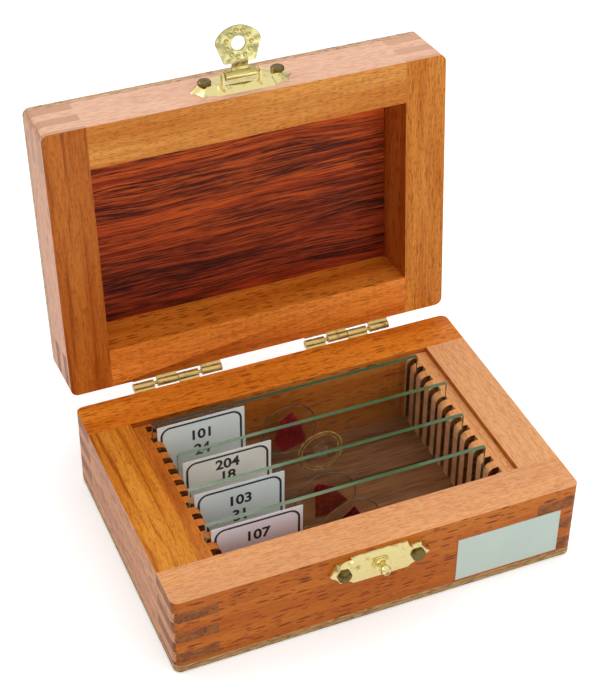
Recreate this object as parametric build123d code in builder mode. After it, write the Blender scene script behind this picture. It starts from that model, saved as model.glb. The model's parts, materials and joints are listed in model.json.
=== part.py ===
from build123d import *
import math
import os

# A wooden box for microscope slides, in millimetres and degrees. X runs to the right, Y to the back
# and Z up. The origin is the centre of the underside. The lid stands open against its stop.

# The box: one closed case, sawn apart into a base and a lid, round the slides and their racks
base_height = 24.2
lid_height = 17.6
wall = 11.5
ply = 2.6
panel_step = 1.6
panel_play = 0.1
corner_radius = 2.0
edge_ease = 0.6

# Finger joints at the corners, counted from the saw cut
finger = 3.43
lid_first_finger = 1.28
thinnest_finger = 0.5

# Slotted racks that hold the slides by their ends
rack_drop = 1.3
rack_back = 3.4
rack_end = 2.185
rack_play = 0.2
rack_nose = 2.0
slot_count = 12
slot_pitch = 4.43
slot_width = 2.0
slot_depth = 2.9
slot_shift = 0.15

# Slides, with a paper label, a specimen and a round cover glass on the face towards the front
slide_length = 76.0
slide_width = 25.4
slide_thickness = 1.2
slide_end_play = 1.4
label_width = 24.2
label_thickness = 0.12
label_inset = 1.15
label_lift = 0.4
label_corner = 0.25
specimen_thickness = 0.1
cover_thickness = 0.2

# The four slides: their slots counted from the back, how far each lies to the right of the middle,
# how far its label was stuck below its upper edge, and the places of the cover glasses, measured
# from the middle of each slide's lower edge
slide_slots = [2, 5, 8, 11]
slide_shifts = [-1.2, 1.0, -0.7, -1.2]
label_drops = [1.0, 2.8, 1.7, 1.6]
cover_shifts = [-0.3, 1.3, -1.65, 0.7]
cover_heights = [12.3, 14.4, 10.3, 12.9]
cover_radii = [8.0, 6.1, 8.6, 7.7]

# Outlines of the specimens about the centre of the cover glass, in parts of its radius
specimen_outlines = [
    [(0.13, 0.72), (0.42, 0.19), (0.65, -0.46), (0.5, -0.74), (-0.19, -0.89), (-0.56, -0.37), (-0.34, 0.13),
     (-0.24, 0.4)],
    [(-0.36, 0.23), (0.07, 0.43), (0.41, 0.13), (0.26, -0.36), (-0.23, -0.33)],
    [(-0.19, 0.65), (0.31, 0.37), (0.54, 0.03), (0.78, -0.29), (0.42, -0.5), (0.06, -0.71), (-0.3, -0.64),
     (-0.32, 0.51)],
    [(-0.38, 0.29), (0.08, 0.7), (0.31, 0.29), (0.45, -0.26), (0.13, -0.64), (-0.4, -0.45)],
]

# Hinges on the back, with their axis behind the saw cut
lid_open_angle = 95.3
hinge_reach = 2.2
hinge_spacing = 50.0
hinge_length = 25.2
barrel_radius = 1.1
hinge_pin_radius = 0.45
pin_play = 0.05
wide_gap = 1.0
narrow_gap = 0.2
leaf_thickness = 0.8
leaf_height = 9.0
leaf_start = 0.7
leaf_corner = 0.8
leaf_nail_spacing = 14.0

# Round-headed nails
nail_radius = 0.6
nail_length = 7.0
nail_play = 0.05
latch_nail_head = 1.8
hinge_nail_head = 1.5
nail_head_height = 1.0
nail_head_ease = 0.35

# Pressed latch plates with scalloped ends
plate_length = 27.6
plate_rise = 1.9
plate_sheet = 0.5
plate_straight = 7.6
plate_shoulder = 11.3
plate_shoulder_drop = 0.9
plate_neck = 11.6
plate_neck_drop = 1.3
plate_scallop = 0.6
plate_tip_scallop = 0.3
plate_nail_spacing = 19.8
lid_plate_height = 9.4
lid_plate_bevel = 1.7
lid_plate_gap = 6.7
base_plate_height = 7.8
base_plate_bevel = 0.5
base_plate_gap = 5.2
base_plate_x = -1.3

# The latch's tongue and the pin that it turns on
latch_x = -1.4
tongue_open_angle = 98.0
tongue_axis_height = 3.4
tongue_axis_reach = 4.55
tongue_barrel_radius = 1.2
tongue_barrel_length = 8.3
tongue_pin_radius = 0.5
tongue_sheet = 0.8
tongue_crank = 0.8
tongue_neck_width = 4.3
tongue_neck_straight = 1.8
tongue_neck_length = 3.15
tongue_root_width = 8.3
tongue_width = 12.0
tongue_waist = 8.2
tongue_crown = 10.6
tongue_crown_width = 9.6
tongue_cheek = 0.35
tongue_brow = 0.5
tongue_length = 12.5
tongue_hole_radius = 1.85
tongue_hole_distance = 8.0
bump_count = 11
bump_ring = 3.35
bump_radius = 0.7
bump_rise = 0.35
bump_margin = 0.2
ear_radius = 0.8
ear_width = 0.6
ear_gap_left = 0.25
ear_gap_right = 0.9

# The stud that the tongue's hole drops over
stud_flange_radius = 2.5
stud_flange_height = 0.4
stud_body_radius = 2.1
stud_shoulder = 2.85
stud_neck_radius = 0.95
stud_ball_radius = 1.4
stud_ball_reach = 4.35
stud_stem_radius = 0.9
stud_foot_radius = 1.5
stud_dimple_radius = 0.5
stud_dimple_depth = 0.8

# The bare label at the front's right-hand corner
front_label_width = 29.0
front_label_height = 13.9
front_label_thickness = 0.15
front_label_side_gap = 4.8
front_label_low = 3.3

closed_height = base_height + lid_height
label_height = slide_width - max(label_drops) - label_lift
rack_thickness = slot_depth + rack_back
rack_height = base_height - ply - rack_drop
rack_length = (slot_count - 1) * slot_pitch + 2 * rack_end
slot_end = slide_length / 2 + slide_end_play
rack_tip = slot_end - slot_depth
inner_width = 2 * (slot_end + rack_back + rack_play)
inner_depth = rack_length + 2 * rack_play
box_width = inner_width + 2 * wall
box_depth = inner_depth + 2 * wall
hinge_y = box_depth / 2 + hinge_reach
tongue_axis_z = base_height + tongue_axis_height
stud_z = tongue_axis_z - tongue_hole_distance
lid_plate_z = base_height + lid_plate_gap
base_plate_z = base_height - base_plate_gap

front_plane = Plane(origin=(0, -box_depth / 2, 0), x_dir=(1, 0, 0), z_dir=(0, -1, 0))
back_plane = Plane(origin=(0, box_depth / 2, 0), x_dir=(-1, 0, 0), z_dir=(0, 1, 0))
hinge_axis = Axis((0, hinge_y, base_height), (-1, 0, 0))
tongue_axis = Axis((0, -box_depth / 2 - tongue_axis_reach, tongue_axis_z), (-1, 0, 0))

os.makedirs("parts", exist_ok=True)


def save(part, name):
    """Name a finished piece and write it."""
    part.label = name
    export_step(part, f"parts/{name}.step")


def opened(part):
    """Turn a piece of the lid from the closed place where it is drawn to the open stop."""
    return part.rotate(hinge_axis, lid_open_angle)


def eased_case():
    """The closed case as one block, with its outer corners rounded and its outer edges eased."""
    with BuildPart() as case:
        with BuildSketch():
            RectangleRounded(box_width, box_depth, corner_radius)
        extrude(amount=closed_height)
        ends = case.faces().filter_by(Axis.Z)
        fillet(ends.edges(), edge_ease)
    return case.part


def finger_layers(start, end, first):
    """Layers of a corner joint from the saw cut to the panel, as pairs of lower and upper heights."""
    direction = math.copysign(1, end - start)
    layers = []
    height = start
    width = first
    while abs(end - height) > 0:
        left = abs(end - height)
        reach = left if left < width + thinnest_finger else width
        following = end if reach == left else height + direction * reach
        layers.append((min(height, following), max(height, following)))
        height = following
        width = finger
    return layers


def frame_wall(case, layers, along_x, side, through_first, plane, holes):
    """One wall of a frame. Layers that run out to the corner alternate with shorter ones."""
    with BuildPart() as timber:
        for index, (low, high) in enumerate(layers):
            through = (index % 2 == 0) == through_first
            outside = box_width if along_x else box_depth
            length = outside if through else outside - 2 * wall
            size = (length, wall) if along_x else (wall, length)
            middle = (box_depth - wall) / 2 if along_x else (box_width - wall) / 2
            place = (0, side * middle) if along_x else (side * middle, 0)
            with BuildSketch(Plane.XY.offset(low)):
                with Locations(place):
                    Rectangle(*size)
            extrude(amount=high - low)
        add(case, mode=Mode.INTERSECT)
        if holes:
            with BuildSketch(plane):
                with Locations(*holes):
                    Circle(nail_radius + nail_play)
            extrude(amount=-nail_length - nail_play, mode=Mode.SUBTRACT)
    return timber.part


def nails(plane, places, seat, head_radius):
    """Nails driven through a plate into the wood, with the head's underside at the seat's height."""
    with BuildPart() as group:
        with BuildSketch(plane.offset(seat)):
            with Locations(*places):
                Circle(head_radius)
        extrude(amount=nail_head_height)
        rims = group.faces().filter_by(Axis.Y).filter_by(lambda face: face.normal_at().dot(plane.z_dir) > 0)
        chamfer(rims.edges(), nail_head_ease)
        with BuildSketch(plane.offset(seat)):
            with Locations(*places):
                Circle(nail_radius)
        extrude(amount=-seat - nail_length)
    return group.part


def plate_outline(plane, height, inset):
    """A latch plate's outline, drawn smaller by an inset: scalloped ends that run to points."""
    tip = plate_length / 2 - 1.4 * inset
    half = height / 2 - inset
    straight = plate_straight - 0.3 * inset
    shoulder = (plate_shoulder - inset, half - plate_shoulder_drop)
    neck = (plate_neck - inset, half - plate_neck_drop)
    tip_scallop = plate_tip_scallop * neck[1] / (height / 2 - plate_neck_drop)
    with BuildSketch(plane) as outline:
        with BuildLine():
            Line((0, half), (straight, half))
            SagittaArc((straight, half), shoulder, -plate_scallop)
            Line(shoulder, neck)
            SagittaArc(neck, (tip, 0), -tip_scallop)
            mirror(about=Plane.XZ)
            mirror(about=Plane.YZ)
        make_face()
    return outline.sketch


def pressed_plate(x, z, height, bevel):
    """A hollow pressed plate on the front: bevelled flanks, a raised middle and two nail holes."""
    centre = Plane(origin=(x, -box_depth / 2, z), x_dir=(1, 0, 0), z_dir=(0, -1, 0))
    with BuildPart() as plate:
        plate_top = centre.offset(plate_rise)
        loft(sections=[plate_outline(centre, height, 0), plate_outline(plate_top, height, bevel)])
        cavity_top = centre.offset(plate_rise - plate_sheet)
        loft(
            sections=[
                plate_outline(centre, height, plate_sheet),
                plate_outline(cavity_top, height, bevel + plate_sheet),
            ],
            mode=Mode.SUBTRACT,
        )
        with BuildSketch(centre):
            with GridLocations(plate_nail_spacing, 0, 2, 1):
                Circle(nail_radius + nail_play)
        extrude(amount=plate_rise, mode=Mode.SUBTRACT)
    return plate.part


def knuckle_starts():
    """Where a hinge's four knuckles start along it. They belong to the base and the lid in turn."""
    length = (hinge_length - 2 * wide_gap - narrow_gap) / 4
    starts = [0, length + wide_gap, 2 * length + wide_gap + narrow_gap, hinge_length - length]
    return starts, length


def hinge_leaf(x, side, first_knuckle):
    """A leaf nailed to the back face, above the axis (side 1) or below it, with its two knuckles."""
    starts, length = knuckle_starts()
    leaf_z = base_height + side * (leaf_start + leaf_height / 2)
    root = Vector(box_depth / 2 + leaf_thickness / 2, base_height + side * (leaf_start + leaf_thickness / 2))
    centre = Vector(hinge_y, base_height)
    across = Vector(0, 0, 1).cross(centre - root).normalized() * (leaf_thickness / 2)
    with BuildPart() as leaf:
        with BuildSketch(back_plane):
            with Locations((-x, leaf_z)):
                RectangleRounded(hinge_length, leaf_height, leaf_corner)
                with GridLocations(leaf_nail_spacing, 0, 2, 1):
                    Circle(nail_radius + nail_play, mode=Mode.SUBTRACT)
        extrude(amount=leaf_thickness)
        for start in starts[first_knuckle::2]:
            with BuildSketch(Plane.YZ.offset(x - hinge_length / 2 + start)):
                with Locations((hinge_y, base_height)):
                    Circle(barrel_radius)
                with BuildLine():
                    Polyline(root - across, root + across, centre + across, centre - across, close=True)
                make_face()
                with Locations((hinge_y, base_height)):
                    Circle(hinge_pin_radius + pin_play, mode=Mode.SUBTRACT)
            extrude(amount=length)
    return leaf.part


def upright_sheet(x, y_front, z, thickness, draw):
    """A sheet that stands across Y with its front face at y_front, drawn about the point x, z."""
    plane = Plane(origin=(x, y_front + thickness, z), x_dir=(1, 0, 0), z_dir=(0, -1, 0))
    with BuildPart() as sheet:
        with BuildSketch(plane):
            draw()
        extrude(amount=thickness)
    return sheet.part


# Wooden frames of the base and the lid
case = eased_case()
latch_nails_x = plate_nail_spacing / 2
base_latch_nails = [(base_plate_x + side * latch_nails_x, base_plate_z) for side in (-1, 1)]
lid_latch_nails = [(-latch_nails_x, lid_plate_z), (latch_nails_x, lid_plate_z)]
hinge_nails_x = [
    side * hinge_spacing / 2 + shift * leaf_nail_spacing / 2 for side in (-1, 1) for shift in (-1, 1)
]
leaf_middle = leaf_start + leaf_height / 2
base_hinge_nails = [(x, base_height - leaf_middle) for x in hinge_nails_x]
lid_hinge_nails = [(x, base_height + leaf_middle) for x in hinge_nails_x]

base_layers = finger_layers(base_height, ply, finger)
lid_layers = finger_layers(base_height, closed_height - ply, lid_first_finger)
for name, along_x, side in (("front", True, -1), ("back", True, 1), ("left", False, -1), ("right", False, 1)):
    plane = back_plane if name == "back" else front_plane
    base_holes = {"front": base_latch_nails, "back": base_hinge_nails}.get(name)
    lid_holes = {"front": lid_latch_nails, "back": lid_hinge_nails}.get(name)
    save(frame_wall(case, base_layers, along_x, side, along_x, plane, base_holes), f"base_{name}_wall")
    lid_wall = frame_wall(case, lid_layers, along_x, side, not along_x, plane, lid_holes)
    save(opened(lid_wall), f"lid_{name}_wall")

# Plywood panels: the bottom is flat, and the lid's drops a step into its frame
with BuildPart() as base_bottom_panel:
    with BuildSketch():
        Rectangle(box_width, box_depth)
    extrude(amount=ply)
    add(case, mode=Mode.INTERSECT)
save(base_bottom_panel.part, "base_bottom_panel")

with BuildPart() as lid_top_panel:
    with BuildSketch(Plane.XY.offset(closed_height)):
        Rectangle(box_width, box_depth)
    extrude(amount=-ply)
    with BuildSketch(Plane.XY.offset(closed_height - ply)):
        Rectangle(inner_width - 2 * panel_play, inner_depth - 2 * panel_play)
    extrude(amount=-panel_step)
    add(case, mode=Mode.INTERSECT)
save(opened(lid_top_panel.part), "lid_top_panel")

# Racks with slots for the slides
slot_places = [slot_shift + ((slot_count - 1) / 2 - index) * slot_pitch for index in range(slot_count)]
for name, side in (("left", -1), ("right", 1)):
    with BuildPart() as slide_rack:
        with BuildSketch(Plane.XY.offset(ply)):
            with Locations((side * (rack_tip + rack_thickness / 2), 0)):
                Rectangle(rack_thickness, rack_length)
        extrude(amount=rack_height)
        top_edges = slide_rack.edges().filter_by(Axis.Y).group_by(Axis.Z)[-1]
        fillet(top_edges.sort_by(Axis.X)[0 if side > 0 else -1], rack_nose)
        with BuildSketch(Plane.XY.offset(ply)):
            with Locations(*[(side * (rack_tip + slot_depth / 2), y) for y in slot_places]):
                Rectangle(slot_depth, slot_width)
        extrude(amount=rack_height, mode=Mode.SUBTRACT)
    save(slide_rack.part, f"{name}_slide_rack")

# Slides with what is stuck to them
for index, slot in enumerate(slide_slots):
    number = index + 1
    shift = slide_shifts[index]
    cover_radius = cover_radii[index]
    outline = [(x * cover_radius, z * cover_radius) for x, z in specimen_outlines[index]]
    glass_front = slot_places[slot - 1] - slide_thickness / 2
    slide_left = shift - slide_length / 2
    label_x = slide_left + label_inset + label_width / 2
    label_z = ply + slide_width - label_drops[index] - label_height / 2
    cover_x = shift + cover_shifts[index]
    cover_z = ply + cover_heights[index]
    specimen_front = glass_front - specimen_thickness
    pieces = {
        f"slide_glass_{number}": (shift, glass_front, ply + slide_width / 2, slide_thickness,
                                  lambda: Rectangle(slide_length, slide_width)),
        f"slide_label_{number}": (label_x, glass_front - label_thickness, label_z, label_thickness,
                                  lambda: RectangleRounded(label_width, label_height, label_corner)),
        f"specimen_{number}": (cover_x, specimen_front, cover_z, specimen_thickness,
                               lambda: Polygon(*outline, align=None)),
        f"cover_glass_{number}": (cover_x, specimen_front - cover_thickness, cover_z, cover_thickness,
                                  lambda: Circle(cover_radius)),
    }
    for name, sheet in pieces.items():
        save(upright_sheet(*sheet), name)

# Hinges
for name, side in (("left", -1), ("right", 1)):
    hinge_x = side * hinge_spacing / 2
    save(hinge_leaf(hinge_x, -1, 0), f"{name}_hinge_base_leaf")
    save(opened(hinge_leaf(hinge_x, 1, 1)), f"{name}_hinge_lid_leaf")
    with BuildPart() as hinge_pin:
        with BuildSketch(Plane.YZ.offset(hinge_x - hinge_length / 2)):
            with Locations((hinge_y, base_height)):
                Circle(hinge_pin_radius)
        extrude(amount=hinge_length)
    save(hinge_pin.part, f"{name}_hinge_pin")
save(nails(back_plane, base_hinge_nails, leaf_thickness, hinge_nail_head), "hinge_base_nails")
save(opened(nails(back_plane, lid_hinge_nails, leaf_thickness, hinge_nail_head)), "hinge_lid_nails")

# The latch's plate on the lid, with an ear at each end of the barrel for the pin
ears_left = latch_x - tongue_barrel_length / 2 - ear_gap_left - ear_width
ears_right = latch_x + tongue_barrel_length / 2 + ear_gap_right + ear_width
axis_y = -box_depth / 2 - tongue_axis_reach
ear_foot = -box_depth / 2 - plate_sheet
with BuildPart() as latch_lid_plate:
    add(pressed_plate(0, lid_plate_z, lid_plate_height, lid_plate_bevel))
    for start in (ears_left, ears_right - ear_width):
        with BuildSketch(Plane.YZ.offset(start)):
            with Locations((axis_y, tongue_axis_z)):
                Circle(ear_radius)
            with Locations(((axis_y + ear_foot) / 2, tongue_axis_z)):
                Rectangle(ear_foot - axis_y, 2 * ear_radius)
            with Locations((axis_y, tongue_axis_z)):
                Circle(tongue_pin_radius + pin_play, mode=Mode.SUBTRACT)
        extrude(amount=ear_width)
save(opened(latch_lid_plate.part), "latch_lid_plate")
save(opened(nails(front_plane, lid_latch_nails, plate_rise, latch_nail_head)), "latch_lid_nails")

with BuildPart() as latch_tongue_pin:
    with BuildSketch(Plane.YZ.offset(ears_left)):
        with Locations((axis_y, tongue_axis_z)):
            Circle(tongue_pin_radius)
    extrude(amount=ears_right - ears_left)
save(opened(latch_tongue_pin.part), "latch_tongue_pin")

# The tongue is drawn latched: a barrel, a cranked neck and a flared sheet with a round hole
neck_end = tongue_axis_z - tongue_neck_length
sheet_y = axis_y + tongue_crank - tongue_sheet / 2
with BuildPart() as latch_tongue:
    with BuildSketch(Plane.YZ.offset(latch_x - tongue_barrel_length / 2)):
        with Locations((axis_y, tongue_axis_z)):
            Circle(tongue_barrel_radius)
    extrude(amount=tongue_barrel_length)
    with BuildSketch(Plane.YZ.offset(latch_x - tongue_neck_width / 2)):
        with BuildLine():
            Polyline(
                (axis_y - tongue_sheet / 2, tongue_axis_z),
                (axis_y - tongue_sheet / 2, tongue_axis_z - tongue_neck_straight),
                (sheet_y, neck_end),
                (sheet_y + tongue_sheet, neck_end),
                (axis_y + tongue_sheet / 2, tongue_axis_z - tongue_neck_straight),
                (axis_y + tongue_sheet / 2, tongue_axis_z),
                close=True,
            )
        make_face()
    extrude(amount=tongue_neck_width)
    sheet_plane = Plane(origin=(latch_x, sheet_y, tongue_axis_z), x_dir=(1, 0, 0), z_dir=(0, -1, 0))
    with BuildSketch(sheet_plane):
        with BuildLine():
            Line((0, -tongue_neck_length), (tongue_root_width / 2, -tongue_neck_length))
            Line((tongue_root_width / 2, -tongue_neck_length), (tongue_width / 2, -tongue_waist))
            SagittaArc(
                (tongue_width / 2, -tongue_waist), (tongue_crown_width / 2, -tongue_crown), tongue_cheek
            )
            SagittaArc((tongue_crown_width / 2, -tongue_crown), (0, -tongue_length), tongue_brow)
            mirror(about=Plane.YZ)
        make_face()
        with Locations((0, -tongue_hole_distance)):
            Circle(tongue_hole_radius, mode=Mode.SUBTRACT)
    extrude(amount=-tongue_sheet)
    # Stamped bumps stand on the face towards the wood, around the hole
    inner_face = sheet_plane.offset(-tongue_sheet)
    bump_centre = inner_face.offset(bump_radius - bump_rise)
    with Locations(bump_centre):
        with Locations((0, -tongue_hole_distance)):
            with PolarLocations(bump_ring, bump_count):
                Sphere(bump_radius)
    with BuildSketch(sheet_plane.offset(bump_radius)):
        with Locations((0, -tongue_hole_distance)):
            Circle(bump_ring + bump_radius + bump_margin)
            Circle(tongue_hole_radius, mode=Mode.SUBTRACT)
    extrude(amount=-bump_radius, mode=Mode.SUBTRACT)
    with BuildSketch(Plane.YZ.offset(latch_x - tongue_barrel_length / 2)):
        with Locations((axis_y, tongue_axis_z)):
            Circle(tongue_pin_radius + pin_play)
    extrude(amount=tongue_barrel_length, mode=Mode.SUBTRACT)
save(opened(latch_tongue.part.rotate(tongue_axis, tongue_open_angle)), "latch_tongue")

# The catch on the base: a plain pressed plate with a riveted stud, dimpled at its tip
stud_plane = Plane(origin=(latch_x, -box_depth / 2, stud_z), x_dir=(1, 0, 0), z_dir=(0, 0, -1))
with BuildPart() as latch_base_plate:
    add(pressed_plate(base_plate_x, base_plate_z, base_plate_height, base_plate_bevel))
    with BuildSketch(front_plane):
        with Locations((latch_x, stud_z)):
            Circle(stud_stem_radius + nail_play)
    extrude(amount=plate_rise, mode=Mode.SUBTRACT)
save(latch_base_plate.part, "latch_base_plate")
save(nails(front_plane, base_latch_nails, plate_rise, latch_nail_head), "latch_base_nails")

ball_low = stud_ball_reach - math.sqrt(stud_ball_radius ** 2 - stud_neck_radius ** 2)
ball_high = stud_ball_reach + math.sqrt(stud_ball_radius ** 2 - stud_dimple_radius ** 2)
foot_top = plate_rise - plate_sheet
with BuildPart() as latch_stud:
    with BuildSketch(stud_plane):
        with BuildLine():
            Polyline(
                (0, foot_top / 2),
                (stud_foot_radius, foot_top / 2),
                (stud_foot_radius, foot_top),
                (stud_stem_radius, foot_top),
                (stud_stem_radius, plate_rise),
                (stud_flange_radius, plate_rise),
                (stud_flange_radius, plate_rise + stud_flange_height),
                (stud_body_radius, plate_rise + stud_flange_height),
                (stud_body_radius, stud_shoulder),
                (stud_neck_radius, stud_shoulder),
                (stud_neck_radius, ball_low),
            )
            ThreePointArc(
                (stud_neck_radius, ball_low),
                (stud_ball_radius, stud_ball_reach),
                (stud_dimple_radius, ball_high),
            )
            Polyline(
                (stud_dimple_radius, ball_high),
                (stud_dimple_radius, ball_high - stud_dimple_depth),
                (0, ball_high - stud_dimple_depth),
                (0, foot_top / 2),
            )
        make_face()
    revolve(axis=Axis((latch_x, -box_depth / 2, stud_z), (0, 1, 0)))
save(latch_stud.part, "latch_stud")

# The bare front label
label_right = box_width / 2 - front_label_side_gap
with BuildPart() as front_label:
    with BuildSketch(front_plane):
        with Locations((label_right - front_label_width / 2, front_label_low + front_label_height / 2)):
            Rectangle(front_label_width, front_label_height)
    extrude(amount=front_label_thickness)
save(front_label.part, "front_label")
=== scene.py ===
import json
import math

import bmesh
import bpy
from mathutils import Matrix, Vector


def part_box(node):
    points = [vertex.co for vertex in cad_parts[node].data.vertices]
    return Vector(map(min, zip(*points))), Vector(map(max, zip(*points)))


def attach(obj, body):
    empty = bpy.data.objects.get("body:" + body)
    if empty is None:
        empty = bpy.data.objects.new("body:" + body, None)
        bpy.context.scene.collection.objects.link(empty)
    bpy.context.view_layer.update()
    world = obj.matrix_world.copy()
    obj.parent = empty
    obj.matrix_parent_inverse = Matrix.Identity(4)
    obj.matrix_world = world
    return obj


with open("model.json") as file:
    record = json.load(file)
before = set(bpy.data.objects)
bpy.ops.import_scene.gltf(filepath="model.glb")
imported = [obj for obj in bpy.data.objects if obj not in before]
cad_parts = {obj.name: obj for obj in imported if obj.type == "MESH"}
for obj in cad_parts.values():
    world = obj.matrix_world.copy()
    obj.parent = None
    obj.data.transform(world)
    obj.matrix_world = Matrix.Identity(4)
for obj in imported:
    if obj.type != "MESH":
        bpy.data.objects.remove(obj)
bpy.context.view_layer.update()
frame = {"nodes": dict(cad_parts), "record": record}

MM = 0.001

# The floor lies a little lower than the box's underside, so that the two don't share a plane
FLOOR_GAP = 0.05 * MM

# The world's own light, and how much the floor glows near the box, far from it and in mirrors
WORLD_LIGHT = 0.26
FLOOR_NEAR = 0.42
FLOOR_FAR = 0.85
FLOOR_MIRRORED = 0.19

# Print on the slides' labels
BORDER_INSET = 1.05 * MM
BORDER_RADIUS = 2.6 * MM
BORDER_WIDTH = 0.6 * MM
PRINT_DEPTH = 0.008 * MM
PRINT_LIFT = 0.004 * MM
DIGIT_HEIGHT = 3.1 * MM
DIGIT_DEPTH = 0.006 * MM

# The lid's turn from closed to open, read from its joint
joints = {joint["name"]: joint for joint in frame["record"]["behaviour"]["joints"]}
LID_AXIS = Vector(joints["lid_hinge"]["pos_m"])
LID_ANGLE = math.radians(-joints["lid_hinge"]["range_deg"][0])

# The photograph's camera
CAMERA_PLACE = (-0.13808, -0.30873, 0.32539)
CAMERA_AZIMUTH = math.radians(-23.296)
CAMERA_ELEVATION = math.radians(38.561)
CAMERA_ROLL = math.radians(0.687)
CAMERA_LENS = 89.99

# Beech: its wood in three tones, its flecks, its clouds, and the light and dark fibres of its end grain,
# darker in the racks with painted shade in their slots
BEECH_LIGHT = (0.8, 0.33, 0.075)
BEECH_MIDDLE = (0.63, 0.205, 0.027)
BEECH_DARK = (0.38, 0.09, 0.01)
BEECH_FLECK = (0.21, 0.032, 0.001)
BEECH_MOTTLE = (0.88, 0.78, 0.66)
BEECH_END = ((0.34, 0.1, 0.02), (0.14, 0.034, 0.008))
RACK_END_AND_SHADE = ((0.1, 0.032, 0.015), (0.05, 0.016, 0.009))

# Painted sheen on beech: the pale colours that stand for the sheen of light on a face, on a rim and on end
# grain
SHEEN_FACE = (0.93, 0.6, 0.46)
SHEEN_RIM = (1.0, 0.56, 0.28)
SHEEN_END = (0.76, 0.42, 0.26)

# Lengths and widths of the cells that hold one fleck each, in millimetres
LONG_FLECK = (5.6, 0.85)
SHORT_FLECK = (3.8, 0.62)
RIM_FLECK = (2.0, 0.34)

# Plywood: its layers' pitch in millimetres, its darker outside, and the specks and glue on its edge
PLY_PITCH = 1.3
PLY_OUTSIDE = (0.52, 0.56, 0.85)
PLY_SPECK = (0.2, 0.09, 0.035)
PLY_GLUE = (0.2, 0.1, 0.035)

# Microscope slides seen through their faces, and the dark clouds in their cut edges
GLASS_CLEAR = (0.93, 0.97, 0.94)
GLASS_CLOUD = (0.03, 0.12, 0.05)


def add_camera():
    """The camera at the photograph's place, looking down on the open box from the front left."""
    forward = Vector((
        -math.sin(CAMERA_AZIMUTH) * math.cos(CAMERA_ELEVATION),
        math.cos(CAMERA_AZIMUTH) * math.cos(CAMERA_ELEVATION),
        -math.sin(CAMERA_ELEVATION),
    ))
    level = Vector((math.cos(CAMERA_AZIMUTH), math.sin(CAMERA_AZIMUTH), 0.0))
    upward = level.cross(forward)
    right = level * math.cos(CAMERA_ROLL) + upward * math.sin(CAMERA_ROLL)
    up = upward * math.cos(CAMERA_ROLL) - level * math.sin(CAMERA_ROLL)
    camera = bpy.data.objects.new("camera", bpy.data.cameras.new("camera"))
    camera.data.lens = CAMERA_LENS
    camera.data.sensor_width = 36.0
    camera.data.clip_start = 0.01
    place = Matrix((right, up, -forward)).transposed().to_4x4()
    place.translation = CAMERA_PLACE
    camera.matrix_world = place
    bpy.context.scene.collection.objects.link(camera)
    bpy.context.scene.camera = camera


class Graph:
    """The node tree of a material or world, with short calls for the nodes that they share."""

    def __init__(self, owner, shader="Principled BSDF"):
        self.owner = owner
        owner.use_nodes = True
        self.tree = owner.node_tree
        self.shader = self.tree.nodes[shader]

    def feed(self, socket, value):
        if isinstance(value, bpy.types.NodeSocket):
            self.tree.links.new(value, socket)
        elif isinstance(value, (tuple, list)) and len(value) == 3 and socket.type == "RGBA":
            socket.default_value = (*value, 1.0)
        else:
            socket.default_value = value

    def node(self, kind, inputs=None, **settings):
        made = self.tree.nodes.new(kind)
        for key, value in settings.items():
            setattr(made, key, value)
        for key, value in (inputs or {}).items():
            self.feed(made.inputs[key], value)
        return made

    def surface(self, **values):
        for key, value in values.items():
            self.feed(self.shader.inputs[key.replace("_", " ")], value)

    def math(self, operation, a, b=0.0):
        return self.node("ShaderNodeMath", {0: a, 1: b}, operation=operation).outputs[0]

    def mix(self, factor, a, b, blend="MIX"):
        made = self.node("ShaderNodeMix", data_type="RGBA", blend_type=blend)
        for key, value in ((0, factor), (6, a), (7, b)):
            self.feed(made.inputs[key], value)
        return made.outputs[2]

    def step(self, value, low, high, start=0.0, end=1.0):
        made = self.node(
            "ShaderNodeMapRange",
            {"Value": value, "From Min": low, "From Max": high, "To Min": start, "To Max": end},
            interpolation_type="SMOOTHSTEP",
        )
        return made.outputs[0]

    def moved(self, vector, place=(0, 0, 0), turn=(0, 0, 0), scale=(1, 1, 1), kind="POINT"):
        made = self.node("ShaderNodeMapping", {0: vector, 1: place, 2: turn, 3: scale}, vector_type=kind)
        return made.outputs[0]

    def noise(self, vector, scale=1.0, detail=2.0, roughness=0.5, distortion=0.0):
        made = self.node(
            "ShaderNodeTexNoise",
            {"Vector": vector, "Scale": scale, "Detail": detail, "Roughness": roughness,
             "Distortion": distortion},
        )
        return made.outputs["Fac"]

    def lenses(self, vector, cell, least, most, place=(0, 0, 0)):
        """Lens-shaped spots of different sizes, one in each cell of a given length and width."""
        length, width = cell
        cells = self.moved(vector, place=place, scale=(1 / length, 1 / width, 1 / width))
        made = self.node("ShaderNodeTexVoronoi", {"Vector": cells, "Scale": 1.0, "Randomness": 1.0})
        size = self.axes(made.outputs["Color"])[0]
        limit = self.step(size, 0.0, 1.0, least, most)
        return self.step(self.math("SUBTRACT", limit, made.outputs["Distance"]), 0.0, 0.06)

    def axes(self, vector):
        made = self.node("ShaderNodeSeparateXYZ", {0: vector})
        return made.outputs[0], made.outputs[1], made.outputs[2]

    def bump(self, height, strength, distance):
        inputs = {"Height": height, "Strength": strength, "Distance": distance}
        self.feed(self.shader.inputs["Normal"], self.node("ShaderNodeBump", inputs).outputs[0])

    def case_space(self, on_lid):
        """Place and normal in the closed case's own space, in millimetres, also for the open lid."""
        source = self.node("ShaderNodeTexCoord")
        place = source.outputs["Object"]
        normal = source.outputs["Normal"]
        if on_lid:
            turn = (LID_ANGLE, 0, 0)
            shift = LID_AXIS - Matrix.Rotation(LID_ANGLE, 3, "X") @ LID_AXIS
            place = self.moved(place, place=shift, turn=turn)
            normal = self.moved(normal, turn=turn, kind="VECTOR")
        place = self.moved(place, scale=(1 / MM, 1 / MM, 1 / MM))
        return place, normal


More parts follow.
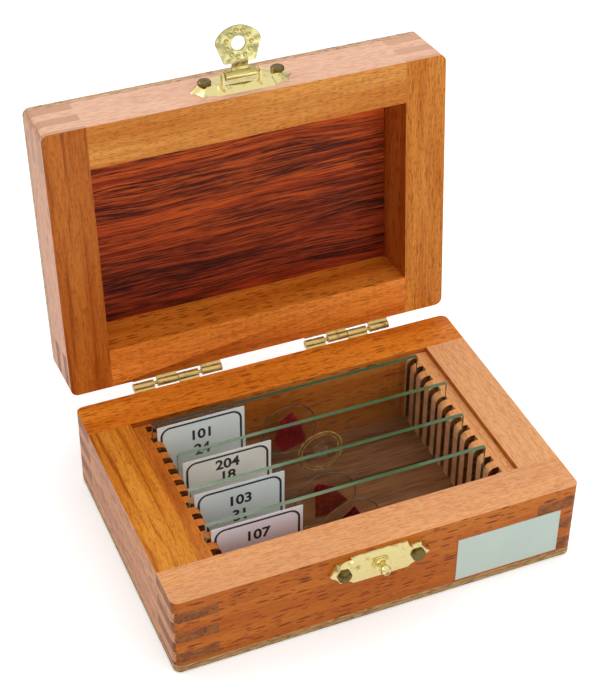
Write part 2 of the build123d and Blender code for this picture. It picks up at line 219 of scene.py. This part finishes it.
def beech(name, grain, on_lid, seed, face, rim_tone_and_light, streaks=0.4, flecks=0.8, rim_flecks=0.0,
          outward_sheen=0.0, pale=0.0, rim_sheen=0.0, end_sheen=0.0, is_rack=False):
    """Varnished beech with its grain along X or Y of the closed case.

    Its faces carry lens-shaped flecks, its rims finer ones, and its end grain short fibres.
    face and rim_tone_and_light tint the board, partly with its own tone and partly with painted light and
    shade, the rims painted lighter or darker than the faces. Shares from 0 to 1 paint a pale sheen of light
    on the side that looks to the left or the front (faded), on all sides along the grain (pale),
    on the rims (rim_sheen) and on the left or front end (end_sheen).
    """
    graph = Graph(bpy.data.materials.new(name))
    place, normal = graph.case_space(on_lid)
    rim = graph.step(graph.math("ABSOLUTE", graph.axes(normal)[2]), 0.6, 0.8)
    # Painted sheen: a pale share on faces that look outward to the left or the front, on all sides along the
    # grain and on the rims
    outward = graph.math("MULTIPLY", graph.axes(normal)[0 if grain == "Y" else 1], -1.0)
    painted_sheen = graph.step(outward, 0.6, 0.8, pale, max(pale, outward_sheen))
    painted_sheen = graph.math("MAXIMUM", painted_sheen, graph.math("MULTIPLY", rim, rim_sheen))
    if grain == "Y":
        quarter = (0, 0, -math.pi / 2)
        place = graph.moved(place, turn=quarter)
        normal = graph.moved(normal, turn=quarter, kind="VECTOR")
    place = graph.moved(place, place=(seed * 37.0, seed * 11.0, seed * 5.0))

    broad = graph.noise(graph.moved(place, scale=(0.012, 0.16, 0.16)), detail=3)
    bands = graph.moved(place, scale=(0.03, 0.85, 0.85))
    bands = graph.noise(bands, detail=3, roughness=0.6, distortion=0.2)
    mottle = graph.moved(place, scale=(0.36, 3.0, 3.0))
    mottle = graph.noise(mottle, detail=2, roughness=0.6, distortion=0.1)
    fibres = graph.noise(graph.moved(place, scale=(0.16, 3.4, 3.4)), detail=3, roughness=0.6)
    tone = graph.mix(graph.step(broad, 0.3, 0.7), BEECH_MIDDLE, BEECH_LIGHT)
    tone = graph.mix(graph.step(bands, 0.48, 0.68, 0.0, streaks), tone, BEECH_DARK)
    tone = graph.mix(graph.step(bands, 0.45, 0.25, 0.0, streaks), tone, BEECH_LIGHT)
    tone = graph.mix(graph.step(fibres, 0.5, 0.72, 0.0, 0.35), tone, BEECH_DARK)
    long_flecks = graph.lenses(place, LONG_FLECK, 0.08, 0.37)
    short_flecks = graph.lenses(place, SHORT_FLECK, -0.1, 0.32, place=(0.4, 0.3, 0.2))
    coarse = graph.math("MAXIMUM", long_flecks, short_flecks)
    fine = graph.math("MULTIPLY", graph.lenses(place, RIM_FLECK, 0.1, 0.42), 0.42)
    rim_marks = graph.math("MAXIMUM", fine, graph.math("MULTIPLY", coarse, rim_flecks))
    marks = graph.mix(rim, graph.math("MULTIPLY", coarse, flecks), rim_marks)
    # Flecks fade under the painted sheen
    marks = graph.math("MULTIPLY", marks, graph.step(painted_sheen, 0.0, 0.8, 1.0, 0.45))
    # The board's tint: partly its own tone, partly painted light and shade, with the rims painted lighter or
    # darker than the faces
    tone = graph.mix(1.0, tone, graph.mix(rim, face, rim_tone_and_light), "MULTIPLY")
    # Painted sheen: the pale colour that stands for the sheen of light
    tone = graph.mix(painted_sheen, tone, graph.mix(rim, SHEEN_FACE, SHEEN_RIM))
    tone = graph.mix(graph.step(mottle, 0.44, 0.6), tone, BEECH_MOTTLE, "MULTIPLY")
    tone = graph.mix(marks, tone, BEECH_FLECK)

    pores = graph.moved(place, scale=(0.15, 1.1, 3.6))
    pores = graph.noise(pores, detail=3, roughness=0.65, distortion=0.3)
    rings = graph.noise(graph.moved(place, scale=(0.02, 0.35, 0.8)), detail=2)
    # The racks' end grain, which lines their slots, is darker: its own end-grain tone and painted shade deep
    # in the slots
    end_tone = graph.mix(graph.step(pores, 0.36, 0.64), *(RACK_END_AND_SHADE if is_rack else BEECH_END))
    end_tone = graph.mix(graph.step(rings, 0.4, 0.65, 0.0, 0.3), end_tone, BEECH_MIDDLE)
    toward_grain = graph.axes(normal)[0]
    # Painted sheen on end grain that looks to the left or the front
    front_end = graph.step(toward_grain, -0.6, -0.8, 0.0, end_sheen)
    end_tone = graph.mix(front_end, end_tone, SHEEN_END)
    end_grain = graph.step(graph.math("ABSOLUTE", toward_grain), 0.6, 0.8)
    graph.surface(
        Base_Color=graph.mix(end_grain, tone, end_tone),
        Roughness=graph.step(fibres, 0.3, 0.7, 0.34, 0.46),
        Specular_IOR_Level=0.18,
        Coat_Weight=0.06,
        Coat_Roughness=0.16,
    )
    graph.bump(graph.math("SUBTRACT", fibres, marks), 0.15, 0.00014)
    return graph.owner


def plywood(name, on_lid, inner, painted_hinge_shade, edge_colours, seed):
    """A plywood panel: veneer on its faces with painted shade that darkens it towards the hinges, and pale
    layers on its edge.
    """
    graph = Graph(bpy.data.materials.new(name))
    place, normal = graph.case_space(on_lid)

    base = graph.moved(place, place=(seed * 31.0, seed * 17.0, 0.0))
    wave = graph.noise(graph.moved(base, scale=(0.014, 0.05, 0.05)), detail=2)
    bent = graph.node("ShaderNodeCombineXYZ", {1: graph.math("MULTIPLY", wave, 9.0)}).outputs[0]
    base = graph.node("ShaderNodeVectorMath", {0: base, 1: bent}, operation="ADD").outputs[0]
    broad = graph.noise(graph.moved(base, scale=(0.012, 0.12, 0.12)), detail=4, roughness=0.6)
    bands = graph.noise(graph.moved(base, scale=(0.026, 0.75, 0.75)), detail=4, roughness=0.65)
    streaks = graph.noise(graph.moved(base, scale=(0.085, 2.7, 2.7)), detail=4, roughness=0.7)
    light, middle, dark = inner
    veneer = graph.mix(graph.step(bands, 0.35, 0.6), middle, light)
    veneer = graph.mix(graph.step(bands, 0.55, 0.75, 0.0, 0.7), veneer, dark)
    share = graph.step(broad, 0.3, 0.7, 0.49, 0.37)
    lines = graph.step(graph.math("SUBTRACT", streaks, share), 0.0, 0.2, 0.0, 0.92)
    veneer = graph.mix(lines, veneer, dark)
    veneer = graph.mix(graph.step(broad, 0.35, 0.65, 0.0, 0.25), veneer, dark)
    outside = graph.step(graph.axes(normal)[2], *((0.6, 0.8) if on_lid else (-0.6, -0.8)))
    # Painted shade: the veneer darkens towards the hinges
    shade = graph.mix(graph.step(graph.axes(place)[1], -30.0, 30.0), (1.0, 1.0, 1.0), painted_hinge_shade)
    shade = graph.mix(outside, shade, PLY_OUTSIDE)
    veneer = graph.mix(1.0, veneer, shade, "MULTIPLY")

    height = graph.axes(place)[2]
    layer = graph.math("SINE", graph.math("MULTIPLY", height, 2 * math.pi / PLY_PITCH))
    fibres = graph.noise(graph.moved(place, scale=(0.45, 0.45, 2.4)), detail=4, roughness=0.6)
    edge_pale = graph.mix(graph.step(fibres, 0.3, 0.6), *edge_colours)
    speckle = graph.step(fibres, 0.53, 0.63, 0.0, 0.8)
    edge = graph.mix(speckle, edge_pale, PLY_SPECK)
    edge = graph.mix(graph.step(layer, 0.5, 1.0, 0.0, 0.35), edge, PLY_GLUE)
    flat = graph.step(graph.math("ABSOLUTE", graph.axes(normal)[2]), 0.55, 0.8)
    graph.surface(
        Base_Color=graph.mix(flat, edge, veneer),
        Roughness=graph.step(streaks, 0.3, 0.7, 0.42, 0.58),
        Specular_IOR_Level=0.2,
    )
    graph.bump(streaks, 0.15, 0.00015)
    return graph.owner


def brass(name, clean, tarnish, tarnish_share, roughness, dents=0.3, painted_slope_shade=0.0):
    """Pressed brass with a wavy surface and tarnish in patches.

    stamped is a share of painted shade, in the tarnish colour, on the slopes of bumps and on the edges of a
    sheet that faces the front at rest.
    """
    graph = Graph(bpy.data.materials.new(name))
    place = graph.node("ShaderNodeTexCoord").outputs["Object"]
    patches = graph.noise(place, scale=420.0, detail=4, roughness=0.6)
    fine = graph.noise(place, scale=2600.0, detail=2)
    waves = graph.noise(place, scale=330.0, detail=1)
    share = graph.step(patches, 0.62 - tarnish_share, 0.86 - tarnish_share)
    # Painted shade, in the tarnish colour, on the slopes of bumps and on the edges of the sheet
    upright = graph.math("ABSOLUTE", graph.axes(graph.node("ShaderNodeTexCoord").outputs["Normal"])[1])
    share = graph.math("MAXIMUM", share, graph.step(upright, 0.97, 0.75, 0.0, painted_slope_shade))
    graph.surface(
        Base_Color=graph.mix(share, clean, tarnish),
        Metallic=1.0,
        Roughness=graph.step(fine, 0.3, 0.7, roughness, roughness + 0.12),
    )
    graph.bump(graph.math("ADD", waves, graph.math("MULTIPLY", fine, 0.03)), dents, 0.0004)
    return graph.owner


def slide_glass(name, near_reflection, far):
    """Clear glass whose cut edges have one shade near the label, a painted reflection, and another away from
    it.
    """
    graph = Graph(bpy.data.materials.new(name))
    source = graph.node("ShaderNodeTexCoord")
    facing = graph.math("ABSOLUTE", graph.axes(source.outputs["Normal"])[1])
    edge = graph.step(facing, 0.6, 0.4)
    along = graph.axes(source.outputs["Object"])[0]
    cloud = graph.noise(graph.moved(source.outputs["Object"], scale=(60, 400, 400)), detail=2)
    # The edges near the label carry a painted reflection
    green = graph.mix(graph.step(along, -0.03, 0.012), near_reflection, far)
    green = graph.mix(graph.step(cloud, 0.35, 0.75, 0.0, 0.5), green, GLASS_CLOUD)
    graph.surface(
        Base_Color=graph.mix(edge, GLASS_CLEAR, green),
        Roughness=0.04,
        IOR=1.5,
        Transmission_Weight=graph.math("SUBTRACT", 1.0, graph.math("MULTIPLY", edge, 0.75)),
    )
    return graph.owner


def cover_glass(name):
    """A thin cover glass with a trace of yellow resin under it."""
    graph = Graph(bpy.data.materials.new(name))
    place = graph.node("ShaderNodeTexCoord").outputs["Object"]
    streak = graph.noise(place, scale=260.0, detail=3)
    graph.surface(
        Base_Color=graph.mix(graph.step(streak, 0.3, 0.7), (0.97, 0.95, 0.9), (0.93, 0.88, 0.78)),
        Roughness=0.05,
        IOR=1.45,
        Transmission_Weight=1.0,
    )
    return graph.owner


def resin(name, colour):
    """Hardened mounting resin in a bead round a cover glass."""
    graph = Graph(bpy.data.materials.new(name))
    place = graph.node("ShaderNodeTexCoord").outputs["Object"]
    cloud = graph.noise(place, scale=700.0, detail=2)
    darker = tuple(0.35 * part for part in colour)
    graph.surface(
        Base_Color=graph.mix(graph.step(cloud, 0.3, 0.7), colour, darker),
        Roughness=0.15,
        Transmission_Weight=0.55,
        IOR=1.5,
    )
    return graph.owner


def tissue(name, colour, clear):
    """A stained slice of tissue, thinner and paler in patches."""
    graph = Graph(bpy.data.materials.new(name))
    place = graph.node("ShaderNodeTexCoord").outputs["Object"]
    cells = graph.noise(place, scale=900.0, detail=5, roughness=0.7)
    pale = tuple(min(1.0, 2.1 * part + 0.03) for part in colour)
    graph.surface(
        Base_Color=graph.mix(graph.step(cells, 0.42, 0.66), colour, pale),
        Roughness=0.4,
        Transmission_Weight=clear,
        IOR=1.4,
    )
    graph.bump(cells, 0.2, 0.0001)
    return graph.owner


def paper(name, colour):
    """Smooth label paper with faint fibres."""
    graph = Graph(bpy.data.materials.new(name))
    place = graph.node("ShaderNodeTexCoord").outputs["Object"]
    fibres = graph.noise(place, scale=2200.0, detail=4, roughness=0.7)
    clouds = graph.noise(place, scale=120.0, detail=2)
    shade = tuple(0.96 * part for part in colour)
    tone = graph.mix(graph.step(clouds, 0.3, 0.7), colour, shade)
    tone = graph.mix(graph.step(fibres, 0.5, 0.8, 0.0, 0.4), tone, shade)
    graph.surface(Base_Color=tone, Roughness=0.42)
    graph.bump(fibres, 0.1, 0.00005)
    return graph.owner


def ink(name):
    """Black print, very slightly uneven."""
    graph = Graph(bpy.data.materials.new(name))
    place = graph.node("ShaderNodeTexCoord").outputs["Object"]
    uneven = graph.noise(place, scale=3000.0, detail=2)
    tone = graph.mix(uneven, (0.012, 0.012, 0.014), (0.035, 0.035, 0.04))
    graph.surface(Base_Color=tone, Roughness=0.5)
    return graph.owner


def mesh_object(name, bm, material):
    mesh = bpy.data.meshes.new(name)
    bm.to_mesh(mesh)
    bm.free()
    mesh.materials.append(material)
    made = bpy.data.objects.new(name, mesh)
    bpy.context.scene.collection.objects.link(made)
    return made


def dress(node, material):
    """Give a CAD node its material."""
    obj = frame["nodes"][node]
    if not obj.material_slots:
        obj.data.materials.append(material)
    for slot in obj.material_slots:
        slot.link = "OBJECT"
        slot.material = material


def soften(node, width):
    """Round a node's sharp edges a little, as sanding and wear do."""
    obj = frame["nodes"][node]
    weld = obj.modifiers.new("weld", "WELD")
    weld.merge_threshold = 0.002 * MM
    bevel = obj.modifiers.new("edges", "BEVEL")
    bevel.width = width
    bevel.segments = 2
    bevel.limit_method = "ANGLE"
    bevel.angle_limit = math.radians(40)
    bevel.harden_normals = True


def ribbon(name, path, width, y, depth, material):
    """A flat closed band of a given width along a closed path in the plane of the slides' faces."""
    count = len(path)
    bm = bmesh.new()
    rings = []
    for index, point in enumerate(path):
        before = path[index - 1]
        after = path[(index + 1) % count]
        along = (after - before).normalized()
        outward = Vector((along.y, -along.x)) * (width / 2)
        rings.append([
            bm.verts.new((point.x + side * outward.x, y - lift, point.y + side * outward.y))
            for side, lift in ((-1, 0.0), (1, 0.0), (1, depth), (-1, depth))
        ])
    for index in range(count):
        here = rings[index]
        there = rings[(index + 1) % count]
        for corner in range(4):
            following = (corner + 1) % 4
            bm.faces.new((here[corner], there[corner], there[following], here[following]))
    bmesh.ops.recalc_face_normals(bm, faces=bm.faces)
    return mesh_object(name, bm, material)


def rounded_rectangle(left, low, right, high, radius, steps=10):
    corners = (
        (right - radius, high - radius, 0.0), (left + radius, high - radius, 0.5 * math.pi),
        (left + radius, low + radius, math.pi), (right - radius, low + radius, 1.5 * math.pi),
    )
    path = []
    for x, z, start in corners:
        for step in range(steps + 1):
            angle = start + 0.5 * math.pi * step / steps
            path.append(Vector((x + radius * math.cos(angle), z + radius * math.sin(angle))))
    return path


def printed_number(name, text, x, y, z, material):
    """Digits centred at a place on a face that looks towards the front."""
    curve = bpy.data.curves.new(name, "FONT")
    curve.body = text
    curve.size = DIGIT_HEIGHT / 0.7
    curve.align_x = "CENTER"
    curve.align_y = "CENTER"
    curve.offset = 0.042 * DIGIT_HEIGHT
    curve.extrude = DIGIT_DEPTH
    curve.materials.append(material)
    made = bpy.data.objects.new(name, curve)
    made.rotation_euler = (math.pi / 2, 0, 0)
    made.location = (x, y, z)
    bpy.context.scene.collection.objects.link(made)
    return made


def bead(name, x, y, z, radius, thickness, material, wander=0.0):
    """A resin bead: a thin ring round a cover glass, not quite even."""
    bm = bmesh.new()
    around = 96
    section = 8
    rings = []
    for step in range(around):
        angle = 2 * math.pi * step / around
        sway = 1 + wander * math.sin(3 * angle + radius * 900) + 0.5 * wander * math.sin(7 * angle)
        thick = thickness * (1 + 0.35 * math.sin(2 * angle + 1.0))
        ring = []
        for part in range(section):
            turn = 2 * math.pi * part / section
            reach = radius * sway + thick * math.cos(turn)
            lift = 0.6 * thickness * math.sin(turn)
            corner = (x + reach * math.cos(angle), y + lift, z + reach * math.sin(angle))
            ring.append(bm.verts.new(corner))
        rings.append(ring)
    for step in range(around):
        here = rings[step]
        there = rings[(step + 1) % around]
        for part in range(section):
            following = (part + 1) % section
            bm.faces.new((here[part], there[part], there[following], here[following]))
    bmesh.ops.recalc_face_normals(bm, faces=bm.faces)
    for face in bm.faces:
        face.smooth = True
    return mesh_object(name, bm, material)


def dress_wood():
    # Each board's tints are partly its own tone and partly painted light and shade for how the light falls
    # on its sides, and its sheen shares paint a pale sheen of light; the lid's front has fewer flecks under
    # its painted sheen
    boards = {
        "base_front": {"grain": "X", "face": (0.84, 0.61, 0.24), "rim_tone_and_light": (0.84, 0.61, 0.24),
                       "streaks": 0.25, "flecks": 0.95, "rim_sheen": 0.57},
        "base_back": {"grain": "X", "face": (0.8, 0.6, 0.42), "rim_tone_and_light": (1.12, 0.89, 0.39),
                      "streaks": 0.3, "rim_flecks": 0.6},
        "base_left": {"grain": "Y", "face": (0.9, 0.82, 0.49), "rim_tone_and_light": (1.0, 0.95, 0.5),
                      "streaks": 1.0, "outward_sheen": 0.27},
        "base_right": {"grain": "Y", "face": (0.98, 0.95, 0.9), "rim_tone_and_light": (0.98, 0.95, 0.9),
                       "streaks": 0.35, "rim_sheen": 0.57},
        "lid_front": {"grain": "X", "face": (0.99, 0.97, 0.95), "rim_tone_and_light": (1.15, 1.19, 1.1),
                      "streaks": 0.25, "flecks": 0.35, "outward_sheen": 0.77, "end_sheen": 0.55},
        "lid_back": {"grain": "X", "face": (1.08, 0.84, 0.42), "rim_tone_and_light": (1.28, 1.04, 0.72),
                     "streaks": 0.3, "rim_flecks": 0.3},
        "lid_left": {"grain": "Y", "face": (0.91, 0.77, 0.55), "rim_tone_and_light": (0.8, 0.59, 0.34),
                     "streaks": 0.75, "outward_sheen": 0.45, "end_sheen": 0.75},
        "lid_right": {"grain": "Y", "face": (0.86, 0.62, 0.42), "rim_tone_and_light": (1.12, 1.1, 0.77),
                      "streaks": 0.35, "rim_flecks": 0.4, "end_sheen": 0.85},
    }
    for index, (part, board) in enumerate(boards.items()):
        seed = 1 + index % 4
        dress(f"{part}_wall", beech(f"beech_{part}", on_lid=part.startswith("lid"), seed=seed, **board))
        soften(f"{part}_wall", 0.14 * MM)
    red = ((0.98, 0.17, 0.022), (0.42, 0.048, 0.008), (0.03, 0.004, 0.004))
    brown = ((0.42, 0.17, 0.075), (0.28, 0.105, 0.042), (0.08, 0.025, 0.012))
    pale_edge = ((0.78, 0.5, 0.33), (0.6, 0.36, 0.2))
    tan_edge = ((0.64, 0.4, 0.17), (0.44, 0.25, 0.09))
    lid_veneer = plywood("plywood_lid", on_lid=True, inner=red, painted_hinge_shade=(0.42, 0.3, 0.45),
                         edge_colours=pale_edge, seed=1)
    base_veneer = plywood("plywood_base", on_lid=False, inner=brown, painted_hinge_shade=(0.9, 0.9, 0.9),
                          edge_colours=tan_edge, seed=2)
    dress("lid_top_panel", lid_veneer)
    dress("base_bottom_panel", base_veneer)
    # Painted light: the right rack is tinted lighter with a painted sheen where light falls on it, and the
    # left rack deeper in shade
    racks = {"left": ((0.9, 0.74, 0.5), 0.0), "right": ((0.98, 0.95, 0.9), 0.35)}
    for seed, (side, (tint, pale)) in enumerate(racks.items(), 5):
        node = f"{side}_slide_rack"
        look = {"face": tint, "rim_tone_and_light": tint, "streaks": 0.6, "flecks": 0.5, "pale": pale}
        dress(node, beech(f"rack_{side}", "Y", False, seed, is_rack=True, **look))
        soften(node, 0.12 * MM)


def dress_brass():
    pale = brass("brass_plates", (0.82, 0.7, 0.32), (0.36, 0.27, 0.09),
                 tarnish_share=0.08, roughness=0.13, dents=0.5)
    sheet = brass("brass_tongue", (0.97, 0.89, 0.4), (0.45, 0.37, 0.1),
                  tarnish_share=0.07, roughness=0.14, dents=0.55, painted_slope_shade=0.95)
    olive = brass("brass_hinges", (0.72, 0.54, 0.2), (0.24, 0.15, 0.05),
                  tarnish_share=0.1, roughness=0.36)
    # The nail heads' very dark brass is painted: it stands for the dark reflections in their heads
    dark = brass("brass_nails", (0.2, 0.145, 0.045), (0.05, 0.032, 0.01),
                 tarnish_share=0.12, roughness=0.28)
    for node in ("latch_lid_plate", "latch_base_plate", "latch_stud"):
        dress(node, pale)
    dress("latch_tongue", sheet)
    for side in ("left", "right"):
        for part in ("base_leaf", "lid_leaf", "pin"):
            dress(f"{side}_hinge_{part}", olive)
    dress("latch_tongue_pin", olive)
    for node in ("latch_lid_nails", "latch_base_nails", "hinge_base_nails", "hinge_lid_nails"):
        dress(node, dark)
    for node in ("latch_lid_plate", "latch_base_plate"):
        soften(node, 0.18 * MM)
    for node in ("latch_tongue", "latch_stud"):
        soften(node, 0.1 * MM)
    for side in ("left", "right"):
        for half in ("base", "lid"):
            soften(f"{side}_hinge_{half}_leaf", 0.15 * MM)


def print_label(number, body, lines, black):
    """A rounded border on a slide's label, and lines of digits, each a drop in millimetres below its top."""
    low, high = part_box(f"slide_label_{number}")
    y = low[1] - PRINT_LIFT
    sides = (low[0] + BORDER_INSET, low[2] + BORDER_INSET, high[0] - BORDER_INSET, high[2] - BORDER_INSET)
    path = rounded_rectangle(*sides, radius=BORDER_RADIUS)
    border = ribbon(f"label_border_{number}", path, BORDER_WIDTH, y, PRINT_DEPTH, black)
    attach(border, body)
    middle = (low[0] + high[0]) / 2
    for line, (text, drop) in enumerate(lines, 1):
        name = f"label_number_{number}_{line}"
        digits = printed_number(name, text, middle, y, high[2] - drop * MM, black)
        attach(digits, body)


def add_beads(number, body, beads):
    """Beads of resin round a cover glass, each a distance in millimetres inside its edge."""
    low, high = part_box(f"cover_glass_{number}")
    x = (low[0] + high[0]) / 2
    z = (low[2] + high[2]) / 2
    radius = (high[0] - low[0]) / 2
    for index, (inside, thickness, wander, material) in enumerate(beads, 1):
        ring = bead(f"resin_bead_{number}_{index}", x, low[1], z,
                    radius - inside * MM, thickness * MM, material, wander)
        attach(ring, body)
        ring.visible_shadow = False


def dress_slides():
    # Painted reflections on the edges near the label: dark on the first slide, pale on the others
    dim = slide_glass("slide_glass_dim", (0.07, 0.075, 0.06), (0.07, 0.18, 0.08))
    green = slide_glass("slide_glass_green", (0.34, 0.46, 0.33), (0.1, 0.22, 0.09))
    thin = cover_glass("cover_glass")
    gold = resin("resin_gold", (0.72, 0.47, 0.12))
    grey = resin("resin_grey", (0.3, 0.24, 0.17))
    crimson = tissue("tissue_crimson", (0.42, 0.02, 0.03), clear=0.35)
    faint = tissue("tissue_faint", (0.62, 0.36, 0.22), clear=0.8)
    greenish = paper("label_paper_greenish", (0.9, 0.97, 0.93))
    beige = paper("label_paper_beige", (0.93, 0.88, 0.8))
    mauve = paper("label_paper_mauve", (0.94, 0.92, 0.97))
    black = ink("label_ink")
    one_bead = ((0.0, 0.14, 0.004, grey),)
    two_beads = ((0.0, 0.24, 0.01, gold), (0.9, 0.16, 0.015, gold))
    slides = (
        {"glass": dim, "stain": crimson, "paper": greenish, "beads": one_bead,
         "lines": (("101", 5.7), ("24", 10.7))},
        {"glass": green, "stain": faint, "paper": beige, "beads": two_beads,
         "lines": (("204", 4.0), ("18", 8.2))},
        {"glass": green, "stain": crimson, "paper": greenish, "beads": one_bead,
         "lines": (("103", 5.7), ("31", 10.7))},
        {"glass": green, "stain": crimson, "paper": mauve, "beads": one_bead,
         "lines": (("107", 5.7), ("42", 10.7))},
    )
    for number, slide in enumerate(slides, 1):
        body = f"slide_{number}"
        dress(f"slide_glass_{number}", slide["glass"])
        dress(f"cover_glass_{number}", thin)
        dress(f"specimen_{number}", slide["stain"])
        dress(f"slide_label_{number}", slide["paper"])
        soften(f"slide_glass_{number}", 0.1 * MM)
        for node in (f"slide_glass_{number}", f"cover_glass_{number}"):
            frame["nodes"][node].visible_shadow = False
        print_label(number, body, slide["lines"], black)
        add_beads(number, body, slide["beads"])


def dress_front_label():
    dress("front_label", paper("front_label_paper", (0.62, 0.72, 0.64)))


def add_stage():
    """A pale floor that keeps the shadow, and soft light from above."""
    bm = bmesh.new()
    bmesh.ops.create_grid(bm, x_segments=8, y_segments=8, size=3.0)
    graph = Graph(bpy.data.materials.new("floor"))
    path = graph.node("ShaderNodeLightPath")
    place = graph.node("ShaderNodeTexCoord").outputs["Object"]
    reach = graph.node("ShaderNodeVectorMath", {0: place}, operation="LENGTH").outputs["Value"]
    seen = graph.math("MAXIMUM", path.outputs["Is Camera Ray"], path.outputs["Is Transmission Ray"])
    seen = graph.math("MULTIPLY", seen, graph.step(reach, 0.4, 2.0, FLOOR_NEAR, FLOOR_FAR))
    mirrored = graph.math("MULTIPLY", path.outputs["Is Glossy Ray"], FLOOR_MIRRORED)
    seen = graph.math("MAXIMUM", seen, mirrored)
    grain = graph.noise(place, scale=40.0)
    graph.surface(
        Base_Color=graph.mix(grain, (0.86, 0.86, 0.86), (0.88, 0.88, 0.88)),
        Roughness=0.9,
        Emission_Color=(1.0, 1.0, 1.0),
        Emission_Strength=seen,
    )
    floor = mesh_object("floor", bm, graph.owner)
    floor.location.z = -FLOOR_GAP

    world = bpy.data.worlds.new("studio")
    bpy.context.scene.world = world
    graph = Graph(world, "Background")
    path = graph.node("ShaderNodeLightPath")
    height = graph.axes(graph.node("ShaderNodeTexCoord").outputs["Generated"])[2]
    sky = {"Value": height, "From Min": 0.0, "From Max": 0.4, "To Min": 0.3, "To Max": 1.0}
    mirrored = graph.node("ShaderNodeMapRange", sky).outputs[0]
    strength = graph.math("MULTIPLY", path.outputs["Is Glossy Ray"], mirrored)
    for share in (path.outputs["Is Camera Ray"], path.outputs["Is Transmission Ray"], WORLD_LIGHT):
        strength = graph.math("MAXIMUM", strength, share)
    graph.surface(Strength=strength, Color=(1.0, 1.0, 1.0))

    # Each lamp's place and size in metres and its power in watts
    lamps = (
        ("key", (0.35, -0.15, 1.05), 2.0, 9.8),
        ("back", (0.52, 1.13, 1.0), 2.4, 8.5),
        ("front", (0.2, -0.9, 0.45), 1.0, 2.4),
        ("side", (-0.8, 0.45, 0.4), 0.8, 3.0),
    )
    target = Vector((0.0, 0.0, 0.04))
    for name, place, size, power in lamps:
        lamp = bpy.data.objects.new(name, bpy.data.lights.new(name, "AREA"))
        lamp.data.shape = "DISK"
        lamp.data.size = size
        lamp.data.energy = power
        lamp.location = place
        lamp.visible_glossy = name == "side"
        lamp.rotation_euler = (Vector(place) - target).to_track_quat("Z", "Y").to_euler()
        bpy.context.scene.collection.objects.link(lamp)


add_camera()
add_stage()
dress_wood()
dress_brass()
dress_slides()
dress_front_label()

bpy.context.scene.view_settings.view_transform = "Standard"
